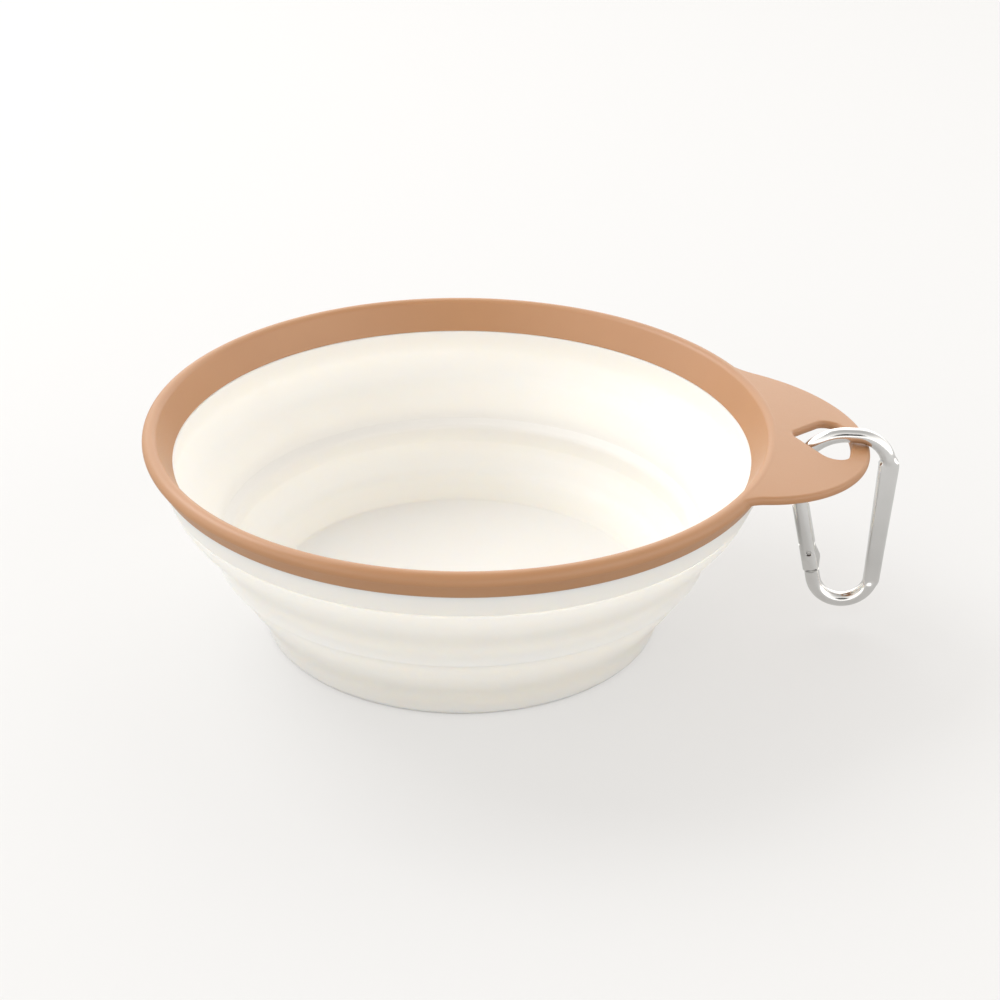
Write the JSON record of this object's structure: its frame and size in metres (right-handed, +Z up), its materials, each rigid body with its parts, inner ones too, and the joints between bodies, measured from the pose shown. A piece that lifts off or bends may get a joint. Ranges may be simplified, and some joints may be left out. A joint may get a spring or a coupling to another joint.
{
  "type": "collapsible travel bowl",
  "caption": "Round travel bowl whose soft stepped wall folds flat into a hard rim, with a hanging tab and a small spring-gate carabiner.",
  "frame": {"origin": "centre of the flat underside of the base, on the bowl's axis", "axes": "+Z up along the bowl's axis, +X out through the middle of the hanging tab, +Y completes the right hand"},
  "size_m": [0.1543, 0.13, 0.0462],
  "materials": {
    "rim_plastic": "satin tan polypropylene",
    "soft_wall": "matte cream thermoplastic rubber",
    "aluminium": "satin bare aluminium",
    "steel": "plain steel"
  },
  "bodies": {
    "rim": {"rim_frame": "rim_plastic", "wall_collar": "soft_wall", "upper_fold": "soft_wall"},
    "upper_step": {"upper_ring": "soft_wall", "lower_fold": "soft_wall"},
    "base": {"lower_ring": "soft_wall", "base_floor": "soft_wall"},
    "carabiner": {"carabiner_body": "aluminium"},
    "gate": {"carabiner_gate": "aluminium", "gate_rivet": "steel", "gate_latch_pin": "steel", "gate_spring": "steel"},
    "plunger": {"gate_plunger": "steel"}
  },
  "joints": [
    {"name": "upper_fold_slide", "type": "slide", "parent": "rim", "child": "upper_step", "axis": [0, 0, 1], "range_m": [0, 0.015], "deforming": ["upper_fold"]},
    {"name": "lower_fold_slide", "type": "slide", "parent": "upper_step", "child": "base", "axis": [0, 0, 1], "range_m": [0, 0.015], "deforming": ["lower_fold"]},
    {"name": "carabiner_swing", "type": "hinge", "parent": "rim", "child": "carabiner", "pos_m": [0.0799, 0, 0.04194], "axis": [0, -1, 0], "range_deg": [-4, 95]},
    {"name": "gate_hinge", "type": "hinge", "parent": "carabiner", "child": "gate", "pos_m": [0.0727, 0, 0.01757], "axis": [0, 1, 0], "range_deg": [0, 28.5]},
    {"name": "plunger_slide", "type": "slide", "parent": "gate", "child": "plunger", "axis": [-0.2267, 0, 0.974], "range_m": [0, 0.00056], "stiffness_N_per_m": 3000, "springref_m": -0.0008, "deforming": ["gate_spring"]}
  ],
  "couplings": [
    {"joint": "gate_hinge", "follows": "plunger_slide", "rad_per_m": 872.66}
  ]
}
